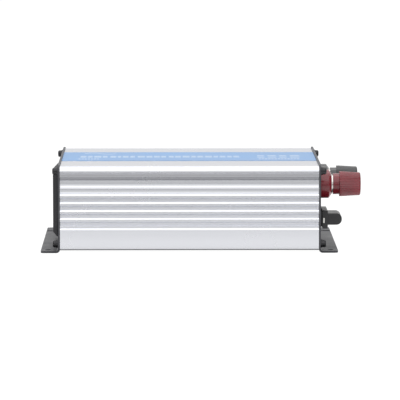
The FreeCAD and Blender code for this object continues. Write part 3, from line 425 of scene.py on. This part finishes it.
def board_laminate(tone):
    """Solder mask over copper tracks, with tinned pads."""
    s = Surface("board laminate", 0.34, Coat_Weight=0.3, Coat_Roughness=0.2)
    mask = s.tint(tone, 0.1, 80.0)
    tracks = add(s.tree, "ShaderNodeTexBrick", {"Scale": 60.0, "Mortar Size": 0.035, "Brick Width": 0.9,
                                                "Row Height": 0.28})
    s.tree.links.new(s.place, tracks.inputs["Vector"])
    s.overlay(ranged(s.tree, tracks.outputs["Fac"], 0.0, 0.45), scaled(tone, 2.2))
    s.overlay(s.specks(260.0, 0.12), (0.62, 0.60, 0.55))
    s.gloss(mask, 0.28, 0.42)
    s.relief(tracks.outputs["Fac"], 0.3, 0.00006)
    return s.material


def wound_wire():
    """Enamelled turns lying side by side under a clear varnish."""
    s = Surface("wound wire", 0.3, 0.8, Coat_Weight=0.5, Coat_Roughness=0.15)
    s.tint((0.55, 0.20, 0.07), 0.2, 160.0)
    wave = add(s.tree, "ShaderNodeTexWave", {"Scale": 420.0, "Distortion": 0.6, "Detail": 1.0},
               bands_direction="Z")
    s.tree.links.new(s.place, wave.inputs["Vector"])
    s.overlay(ranged(s.tree, wave.outputs["Fac"], 0.45, 0.0), (0.16, 0.05, 0.02))
    s.relief(wave.outputs["Fac"], 0.8, 0.0002)
    return s.material


def sintered_ferrite():
    s = Surface("sintered ferrite", 0.5, 0.1)
    mask = s.tint((0.045, 0.045, 0.05), 0.2, 150.0)
    s.gloss(mask, 0.42, 0.62)
    s.relief(s.grain(1000.0), 0.5, 0.0001)
    return s.material


def soft_pad():
    s = Surface("soft pad", 0.8)
    s.tint((0.34, 0.42, 0.50), 0.08, 200.0)
    s.relief(s.grain(1400.0), 0.4, 0.0001)
    return s.material


def tinted_lens(name, tone):
    """Coloured clear lamp body."""
    s = Surface(name, 0.12, Transmission_Weight=0.35, IOR=1.49, Coat_Weight=0.6, Coat_Roughness=0.05)
    mask = s.tint(tone, 0.1, 300.0)
    s.gloss(mask, 0.08, 0.18)
    s.relief(s.grain(900.0), 0.08, 0.00004)
    return s.material


def all_materials(tones):
    """Every finish by name."""
    return {
        "aluminium": anodised_aluminium(tones.aluminium),
        "mill": cut_aluminium(tones.aluminium),
        "film": label_film(tones.label),
        "ink": printing_ink("light ink", tones.ink),
        "red ink": printing_ink("red ink", (0.62, 0.03, 0.03)),
        "sheet": powder_coat(tones.sheet),
        "oxide": black_oxide(),
        "red gloss": glossy_moulding("red gloss", tones.red, 0.16, 0.26, 0.5),
        "black gloss": glossy_moulding("black gloss", tones.black, 0.16, 0.26, 1.0),
        "grip gloss": glossy_moulding("grip gloss", scaled(tones.black, 0.8), 0.28, 0.38, 0.30),
        "black satin": matt_moulding("black satin", scaled(tones.black, 1.4), 1300.0),
        "fan plastic": matt_moulding("fan plastic", (0.022, 0.022, 0.025)),
        "plated": turned_metal("plated steel", (0.74, 0.73, 0.70), 0.16, 0.28),
        "brass": turned_metal("turned brass", (0.72, 0.52, 0.22), 0.22, 0.34),
        "copper": turned_metal("copper strap", tones.copper, 0.24, 0.38),
        "board": board_laminate(tones.board),
        "wire": wound_wire(),
        "ferrite": sintered_ferrite(),
        "pad": soft_pad(),
        "sleeve": glossy_moulding("shrink sleeve", (0.02, 0.025, 0.07), 0.25, 0.36, 0.3),
        "amber": glossy_moulding("amber plastic", (0.70, 0.26, 0.03), 0.2, 0.3, 0.5),
        "cable": matt_moulding("cable skin", (0.10, 0.07, 0.05), 900.0),
        "green lens": tinted_lens("green lens", (0.05, 0.50, 0.10)),
        "red lens": tinted_lens("red lens", (0.60, 0.03, 0.03)),
    }


NODE_FINISH = {
    "aluminium": ["case_shell"],
    "mill": ["bottom_plate", "clamp_bars"],
    "sheet": ["dc_end_plate", "ac_end_plate"],
    "oxide": ["dc_plate_screws", "ac_plate_screws", "plate_washers", "fan_screws"],
    "red gloss": ["film_capacitor"],
    "black gloss": ["switch_rocker"],
    "grip gloss": ["fuse_carrier"],
    "black satin": ["fuse_holder", "post_bushes", "outlet_housing", "outlet_back", "switch_body",
                    "charger_tongue", "transistors", "pin_strip"],
    "fan plastic": ["fan_frame", "fan_rotor"],
    "plated": ["red_post_stud", "black_post_stud", "red_knob_washer", "black_knob_washer", "post_nuts",
               "carrier_springs", "fuse_blades", "fan_nuts", "charger_shell", "clamp_screws"],
    "brass": ["red_knob_insert", "black_knob_insert", "outlet_contacts", "switch_tabs"],
    "copper": ["red_strap", "fuse_strap", "black_strap", "fuse_clips"],
    "board": ["charger_board", "main_board", "control_board"],
    "wire": ["transformer_windings", "choke_windings"],
    "ferrite": ["transformer_cores", "choke_core"],
    "pad": ["thermal_pads"],
    "sleeve": ["input_capacitors", "bulk_capacitor"],
    "amber": ["fuse_body"],
    "cable": ["outlet_leads"],
    "green lens": ["power_lamp"],
    "red lens": ["fault_lamp"],
}
finishes = {}


# ---------------------------------------------------------------- mesh helpers

def piece(name, mesh, finish, body, smooth=0.0):
    """Object from a bmesh, with its finish, body and slot."""
    data = bpy.data.meshes.new(name)
    bmesh.ops.recalc_face_normals(mesh, faces=mesh.faces)
    mesh.to_mesh(data)
    mesh.free()
    made = bpy.data.objects.new(name, data)
    bpy.context.scene.collection.objects.link(made)
    data.materials.append(finishes[finish])
    if smooth:
        data.shade_smooth()
        data.set_sharp_from_angle(angle=smooth)
    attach(made, body)
    return made


def lathe(profile, centre, steps):
    """Closed body from (along, radius) points, spun around an X axis through centre."""
    mesh = bmesh.new()
    points = [mesh.verts.new((x, centre.y, centre.z + r)) for x, r in profile]
    edges = [mesh.edges.new(pair) for pair in zip(points, points[1:])]
    bmesh.ops.spin(mesh, geom=points + edges, cent=centre, axis=(1, 0, 0), dvec=(0, 0, 0), angle=TURN,
                   steps=steps, use_merge=True)
    bmesh.ops.remove_doubles(mesh, verts=mesh.verts, dist=1e-7)
    return mesh


def rounded(points, radius, steps=4):
    """Profile with its inner corners turned into short arcs."""
    result = [points[0]]
    for before, here, after in zip(points, points[1:], points[2:]):
        a, b, c = Vector(before), Vector(here), Vector(after)
        reach = min(radius, (a - b).length / 2, (c - b).length / 2)
        start, end = b + (a - b).normalized() * reach, b + (c - b).normalized() * reach
        for i in range(steps + 1):
            t = i / steps
            result.append(tuple(start * (1 - t) ** 2 + b * 2 * t * (1 - t) + end * t ** 2))
    return result + [points[-1]]


def tile(mesh, centre, width, depth, thickness, corner=0.0, turn=0.0):
    """Flat tile on XY with rounded corners, standing up from centre by its thickness."""
    face = bmesh.ops.create_grid(mesh, x_segments=1, y_segments=1, size=0.5)["verts"]
    bmesh.ops.scale(mesh, vec=(width, depth, 1), verts=face)
    if corner:
        made = bmesh.ops.bevel(mesh, geom=face, offset=corner, segments=4, profile=0.5, affect="VERTICES",
                               material=-1)
        face = made["verts"]
        face = list({v for f in made["faces"] for v in f.verts} | {v for v in face if v.is_valid})
    bmesh.ops.rotate(mesh, verts=face, cent=(0, 0, 0), matrix=Matrix.Rotation(turn, 3, "Z"))
    bmesh.ops.translate(mesh, verts=face, vec=centre)
    raise_up(mesh, face, thickness)


def raise_up(mesh, verts, thickness):
    """Solid of a given thickness from a flat patch."""
    patch = list({f for v in verts for f in v.link_faces})
    grown = bmesh.ops.extrude_face_region(mesh, geom=patch, use_keep_orig=True)
    top = [v for v in grown["geom"] if isinstance(v, bmesh.types.BMVert)]
    bmesh.ops.translate(mesh, verts=top, vec=(0, 0, thickness))


def stand_on(mesh, matrix):
    bmesh.ops.transform(mesh, matrix=matrix, verts=mesh.verts)


# ---------------------------------------------------------------- pieces

class INVERTER_OT_finishes(bpy.types.Operator):
    """Make every finish and give it to the pieces that are kept as they are"""
    bl_idname = "inverter.finishes"
    bl_label = "Finishes"

    def execute(self, context):
        finishes.update(all_materials(context.scene.inverter_colours))
        for finish, nodes in NODE_FINISH.items():
            for node in nodes:
                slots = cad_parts[node].material_slots
                for slot in slots:
                    slot.material = finishes[finish]
        return {"FINISHED"}


def post_axis(colour_name):
    low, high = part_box(colour_name + "_post_stud")
    return Vector((0, (low.y + high.y) / 2, (low.z + high.z) / 2))


class INVERTER_OT_post_bases(bpy.types.Operator):
    """Moulded bases of the two battery posts"""
    bl_idname = "inverter.post_bases"
    bl_label = "Post bases"

    def execute(self, context):
        settings = context.scene.inverter_posts
        for name in ("red", "black"):
            node = name + "_post_base"
            low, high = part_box(node)
            radius = (high.y - low.y) / 2
            bore, face = settings.stud_bore, plate_face(settings)
            profile = [(low.x, bore), (low.x, settings.spigot), (face, settings.spigot), (face, radius),
                       (high.x - settings.cone_length, radius), (high.x, settings.cone_radius),
                       (high.x, bore), (low.x, bore)]
            mesh = lathe(rounded(profile, settings.edge), post_axis(name), 96)
            made = piece(node.replace("_post", "_moulded_post"), mesh, name + " gloss", "casing",
                         math.radians(40))
            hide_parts(node)
        return {"FINISHED"}


def plate_face(posts):
    """Outer face of the plate at the battery end."""
    return case_high.x + posts.sheet


class INVERTER_OT_knobs(bpy.types.Operator):
    """Fluted knobs of the two battery posts"""
    bl_idname = "inverter.knobs"
    bl_label = "Knobs"

    def execute(self, context):
        settings = context.scene.inverter_posts
        for name in ("red", "black"):
            low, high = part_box(name + "_knob")
            core_low, core_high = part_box(name + "_knob_insert")
            centre = post_axis(name)
            bore = (core_high.y - core_low.y) / 2 + settings.seat
            wide, tip, neck = (high.y - low.y) / 2, settings.tip_radius, settings.neck_radius
            shoulder = low.x + settings.neck_length
            inner = [(core_high.x, 0), (core_high.x, bore), (low.x, bore), (low.x, neck), (shoulder, neck),
                     (shoulder, wide), (shoulder + 4 * settings.edge, wide)]
            outer = [(high.x - 2 * settings.tip_round, tip), (high.x, tip), (high.x, settings.dish_radius),
                     (high.x - settings.dish_depth, settings.dish_radius - settings.dish_depth),
                     (high.x - settings.dish_depth, 0)]
            grip = [Vector(inner[-1]).lerp(Vector(outer[0]), step / 8) for step in range(1, 8)]
            profile = (rounded(inner, settings.edge / 2) + [tuple(point) for point in grip]
                       + rounded(outer, settings.tip_round))
            mesh = lathe(profile, centre, settings.flutes * 8)
            for vert in mesh.verts:
                out = Vector((0, vert.co.y - centre.y, vert.co.z - centre.z))
                if vert.co.x < shoulder or out.length < tip - 3 * settings.flute_depth:
                    continue
                turn = math.atan2(out.z, out.y) * settings.flutes
                vert.co -= out.normalized() * settings.flute_depth * (0.5 + 0.5 * math.cos(turn)) ** 2
            made = piece(name + "_fluted_knob", mesh, name + " gloss", name + "_cap",
                         math.radians(38))
            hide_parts(name + "_knob")
        return {"FINISHED"}


class INVERTER_OT_label(bpy.types.Operator):
    """Label film on the top of the case"""
    bl_idname = "inverter.label"
    bl_label = "Label film"

    def execute(self, context):
        corner = context.scene.inverter_print.film_round
        mesh = bmesh.new()
        centre = (label_low + label_high) / 2
        inset = 0.15 * MM
        size = label_high - label_low
        tile(mesh, (centre.x, centre.y, label_low.z), size.x - 2 * inset, size.y, size.z, corner)
        made = piece("label_film", mesh, "film", "casing")
        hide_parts("top_label")
        return {"FINISHED"}


def marks(mesh, start, y, z, widths, gap, height, stroke, thickness):
    """Row of double dashes running along X, standing for a line of print; 0 leaves a wider space."""
    x = start
    for width in widths:
        if width:
            for side in (-1, 1):
                tile(mesh, (x + width / 2, y + side * (height - stroke) / 2, z), width, stroke, thickness,
                     stroke * 0.3)
        x += width + gap


def wave_mark(mesh, centre, width, height, line, z, thickness):
    """One period of a sine wave as a flat ribbon."""
    band = bmesh.ops.create_grid(mesh, x_segments=48, y_segments=1, size=0.5)["verts"]
    for vert in band:
        rise = math.sin(TURN * (vert.co.x + 0.5)) * height / 2
        vert.co = Vector((centre.x + width * vert.co.x, centre.y + rise + line * vert.co.y, z))
    raise_up(mesh, band, thickness)


class INVERTER_OT_label_print(bpy.types.Operator):
    """Generic marks printed on the label"""
    bl_idname = "inverter.label_print"
    bl_label = "Label print"

    def execute(self, context):
        settings = context.scene.inverter_print
        mesh = bmesh.new()
        z, ink = label_high.z, settings.ink_height
        row = label_low.y + 30.0 * MM
        small = label_low.y + 13.0 * MM
        line = settings.stroke
        words = [5, 4, 6, 4, 0, 5, 3, 5, 4, 0, 6, 5, 5, 4, 0, 4, 5, 6, 4, 5, 6, 4, 5, 4, 5]
        marks(mesh, -89 * MM, row, z, [w * MM for w in words], 1.1 * MM, settings.main_row, line, ink)
        marks(mesh, -90 * MM, small, z, [1.6 * MM] * 7, 0.9 * MM, settings.small_row, line / 2, ink)
        marks(mesh, 56 * MM, row + 1 * MM, z, [6 * MM, 7 * MM, 6 * MM, 8 * MM], 2.6 * MM,
              settings.main_row * 1.4, line, ink)
        marks(mesh, 57 * MM, small, z, [1.6 * MM] * 13, 1.0 * MM, settings.small_row, line / 2, ink)
        wave_mark(mesh, Vector((-73 * MM, label_low.y + 54 * MM, 0)), 26 * MM, 9 * MM, line / 2, z, ink)
        piece("label_print", mesh, "ink", "casing")
        return {"FINISHED"}


class INVERTER_OT_signs(bpy.types.Operator):
    """Plus and minus signs beside the battery posts"""
    bl_idname = "inverter.signs"
    bl_label = "Signs"

    def execute(self, context):
        settings = context.scene.inverter_print
        size, ink = settings.sign_size, settings.ink_height
        for name, finish in (("red", "red ink"), ("black", "ink")):
            mesh = bmesh.new()
            tile(mesh, (0, 0, 0), size, size * 0.24, ink)
            if name == "red":
                for step in (-1, 1):
                    tile(mesh, (0, step * size * 0.31, 0), size * 0.24, size * 0.38, ink)
            axis = post_axis(name)
            face = plate_face(context.scene.inverter_posts)
            place = Matrix.Translation((face, axis.y - settings.sign_offset, axis.z))
            upright = Matrix.Rotation(math.pi / 2, 4, "Y") @ Matrix.Rotation(math.pi / 2, 4, "Z")
            stand_on(mesh, place @ upright)
            piece(name + "_sign", mesh, finish, "casing")
        return {"FINISHED"}


# ---------------------------------------------------------------- stage

def look(camera, place, forward):
    camera.matrix_world = Matrix.Translation(place) @ forward.to_track_quat("-Z", "Y").to_matrix().to_4x4()


def card(name, place, target, width, height, power, tone=(1.0, 1.0, 1.0)):
    """Soft rectangular light that faces a target."""
    data = bpy.data.lights.new(name, "AREA")
    data.shape = "RECTANGLE"
    data.size, data.size_y, data.energy, data.color = width, height, power, tone
    made = bpy.data.objects.new(name, data)
    bpy.context.scene.collection.objects.link(made)
    look(made, Vector(place), Vector(target) - Vector(place))
    return made


# Glow of the floor outwards from the case, as (share of the fade distance, brightness); the dark start under
# and next to the case is a painted shadow
FLOOR_GLOW_AND_PAINTED_SHADOW = ((0.0, 0.06), (0.022, 0.06), (0.028, 0.25), (0.046, 0.98), (0.087, 0.97), (0.120, 0.84),
              (0.185, 0.78), (0.348, 0.56), (0.456, 0.48), (0.565, 0.34), (1.0, 0.15))


def floor_finish(settings):
    """Pale floor: white as seen, with a painted glow for reflections that changes with the distance to the
    case, and a painted shadow close to it.
    """
    material = bpy.data.materials.new("pale floor")
    material.use_nodes = True
    tree = material.node_tree
    shader = tree.nodes["Principled BSDF"]
    shader.inputs["Roughness"].default_value = 0.9
    shader.inputs["Specular IOR Level"].default_value = 0.0
    shader.inputs["Base Color"].default_value = (settings.floor_shadow,) * 3 + (1.0,)
    place = add(tree, "ShaderNodeTexCoord").outputs["Object"]
    for operation, vector in (("SUBTRACT", (case_low + case_high) / 2), ("ABSOLUTE", None),
                              ("SUBTRACT", (case_high - case_low) / 2)):
        step = add(tree, "ShaderNodeVectorMath", operation=operation)
        tree.links.new(place, step.inputs[0])
        if vector:
            step.inputs[1].default_value = vector
        place = step.outputs[0]
    apart = add_linked(tree, "ShaderNodeSeparateXYZ", place)
    gap = add(tree, "ShaderNodeMath", operation="MAXIMUM")
    tree.links.new(apart.outputs["X"], gap.inputs[0])
    tree.links.new(apart.outputs["Y"], gap.inputs[1])
    start = -settings.floor_inside
    reach = add(tree, "ShaderNodeMapRange", {"From Min": start, "From Max": start + settings.floor_fade})
    tree.links.new(gap.outputs["Value"], reach.inputs["Value"])
    # ramp of the painted glow for reflections, dark under and next to the case as a painted shadow
    ramp = tree.nodes.new("ShaderNodeValToRGB")
    points = ramp.color_ramp.elements
    for share, _ in FLOOR_GLOW_AND_PAINTED_SHADOW[1:-1]:
        points.new(share)
    for point, (_, tone) in zip(points, FLOOR_GLOW_AND_PAINTED_SHADOW):
        point.color = (tone, tone, tone, 1.0)
    tree.links.new(reach.outputs["Result"], ramp.inputs["Fac"])
    seen = add(tree, "ShaderNodeLightPath").outputs["Is Camera Ray"]
    glow = mixed(tree, seen, ramp.outputs["Color"], (1.0, 1.0, 1.0))
    tree.links.new(glow, shader.inputs["Emission Color"])
    shader.inputs["Emission Strength"].default_value = 1.0
    return material


def room_light(low, back, high):
    """Room that is brighter overhead and behind the object than in front of it, and white as seen."""
    world = bpy.data.worlds.new("room")
    world.use_nodes = True
    tree = world.node_tree
    background = tree.nodes["Background"]
    background.inputs["Color"].default_value = (1.0, 1.0, 1.0, 1.0)
    way = add_linked(tree, "ShaderNodeSeparateXYZ", add(tree, "ShaderNodeTexCoord").outputs["Generated"])
    behind = add(tree, "ShaderNodeMapRange",
                 {"From Min": 0.0, "From Max": 0.6, "To Min": low, "To Max": back},
                 interpolation_type="SMOOTHSTEP")
    over = add(tree, "ShaderNodeMapRange", {"From Min": 0.35, "From Max": 0.8, "To Min": 0.0, "To Max": high},
               interpolation_type="SMOOTHSTEP")
    total = add(tree, "ShaderNodeMath", operation="ADD")
    tree.links.new(way.outputs["Y"], behind.inputs["Value"])
    tree.links.new(way.outputs["Z"], over.inputs["Value"])
    tree.links.new(behind.outputs["Result"], total.inputs[0])
    tree.links.new(over.outputs["Result"], total.inputs[1])
    seen = add(tree, "ShaderNodeLightPath").outputs["Is Camera Ray"]
    choice = add(tree, "ShaderNodeMix", data_type="FLOAT")
    tree.links.new(seen, choice.inputs["Factor"])
    tree.links.new(total.outputs["Value"], choice.inputs[2])
    choice.inputs[3].default_value = 1.0
    tree.links.new(choice.outputs[0], background.inputs["Strength"])
    return world


class INVERTER_OT_stage(bpy.types.Operator):
    """Floor, studio lights and camera"""
    bl_idname = "inverter.stage"
    bl_label = "Stage"

    def execute(self, context):
        scene = context.scene
        settings = scene.inverter_stage
        scene.view_settings.view_transform = "Standard"
        mesh = bmesh.new()
        bmesh.ops.create_circle(mesh, cap_ends=True, radius=6.0, segments=64)
        data = bpy.data.meshes.new("floor")
        mesh.to_mesh(data)
        mesh.free()
        data.materials.append(floor_finish(settings))
        floor = bpy.data.objects.new("floor", data)
        scene.collection.objects.link(floor)
        scene.world = room_light(settings.room_front, settings.room_back, settings.room_top)
        middle = (case_low + case_high) / 2
        below = middle - Vector((0, settings.softbox_forward, 0))
        overhead = below + Vector((0, 0, settings.softbox_height))
        card("top softbox", overhead, below, settings.softbox_width, settings.softbox_length,
             settings.top_light)
        card("front card", middle + Vector((0.2, -1.9, 0.45)), middle, 1.6, 0.8, settings.front_light)
        for side in (-1, 1):
            card("side card", middle + Vector((side * 1.5, -0.5, 0.6)), middle, 0.8, 0.9, settings.side_light)
        data = bpy.data.cameras.new("camera")
        data.lens, data.sensor_width = settings.lens, 36.0
        data.clip_start, data.clip_end = 0.05, 30.0
        camera = bpy.data.objects.new("camera", data)
        scene.collection.objects.link(camera)
        turn, tilt = settings.yaw, settings.pitch
        forward = Vector((math.sin(turn) * math.cos(tilt), math.cos(turn) * math.cos(tilt), -math.sin(tilt)))
        right = Vector((math.cos(turn), -math.sin(turn), 0))
        upward = right.cross(forward)
        aim = Vector((0, case_low.y, 0)) + right * settings.across + upward * settings.above
        look(camera, aim - forward * settings.distance, forward)
        scene.camera = camera
        return {"FINISHED"}


class INVERTER_PT_panel(bpy.types.Panel):
    """Lists the steps and their settings"""
    bl_idname = "INVERTER_PT_panel"
    bl_label = "Power inverter"
    bl_space_type = "VIEW_3D"
    bl_region_type = "UI"
    bl_category = "Inverter"

    def draw(self, context):
        for step in STEPS:
            self.layout.operator(step.bl_idname)
        for name in SETTINGS:
            settings = getattr(context.scene, name)
            box = self.layout.box()
            for key in settings.bl_rna.properties.keys():
                if key not in ("rna_type", "name"):
                    box.prop(settings, key)


SETTINGS = {"inverter_colours": InverterColours, "inverter_posts": InverterPosts,
            "inverter_print": InverterPrint, "inverter_stage": InverterStage}
STEPS = (INVERTER_OT_finishes, INVERTER_OT_post_bases, INVERTER_OT_knobs, INVERTER_OT_label,
         INVERTER_OT_label_print, INVERTER_OT_signs, INVERTER_OT_stage)


def register():
    for kind in (*SETTINGS.values(), *STEPS, INVERTER_PT_panel):
        bpy.utils.register_class(kind)
    for name, kind in SETTINGS.items():
        setattr(bpy.types.Scene, name, PointerProperty(type=kind))


def unregister():
    for name in SETTINGS:
        delattr(bpy.types.Scene, name)
    for kind in reversed((*SETTINGS.values(), *STEPS, INVERTER_PT_panel)):
        bpy.utils.unregister_class(kind)


def main():
    register()
    for step in STEPS:
        group, name = step.bl_idname.split(".")
        getattr(getattr(bpy.ops, group), name)()


if __name__ == "__main__":
    main()
